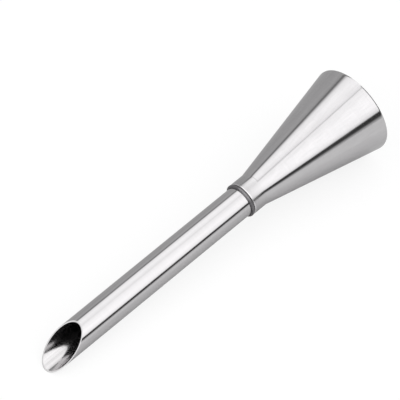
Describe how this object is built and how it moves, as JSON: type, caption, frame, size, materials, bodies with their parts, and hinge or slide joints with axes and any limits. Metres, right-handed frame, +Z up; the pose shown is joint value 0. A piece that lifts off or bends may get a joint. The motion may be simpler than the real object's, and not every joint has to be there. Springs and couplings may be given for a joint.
{
  "type": "cream filling nozzle",
  "caption": "Polished steel filling nozzle for a piping bag: a funnel, a long outlet tube with a slanted open tip, a locking ring and a brazed joint.",
  "frame": {"origin": "on the table, under the centre of the nozzle's bounding box, with the nozzle lying on its side", "axes": "+X from the slanted tip towards the funnel's mouth, +Z up with the tip's opening facing up, +Y to the left; the nozzle's own axis lies in the XZ plane and rises 4.2 degrees towards the mouth, because the wide rim and the thin tube both touch the table"},
  "size_m": [0.1324, 0.0294, 0.0294],
  "materials": {
    "polished_steel": "machine-polished stainless steel, close to a mirror, with fine polishing lines round the axis",
    "ring_steel": "dull dark-grey metal band with a soft highlight, not polished",
    "braze_metal": "satin silver braze, slightly warm, not polished"
  },
  "bodies": {
    "root": {"funnel": "polished_steel", "outlet_tube": "polished_steel", "locking_ring": "ring_steel", "braze_seal": "braze_metal"}
  },
  "joints": []
}
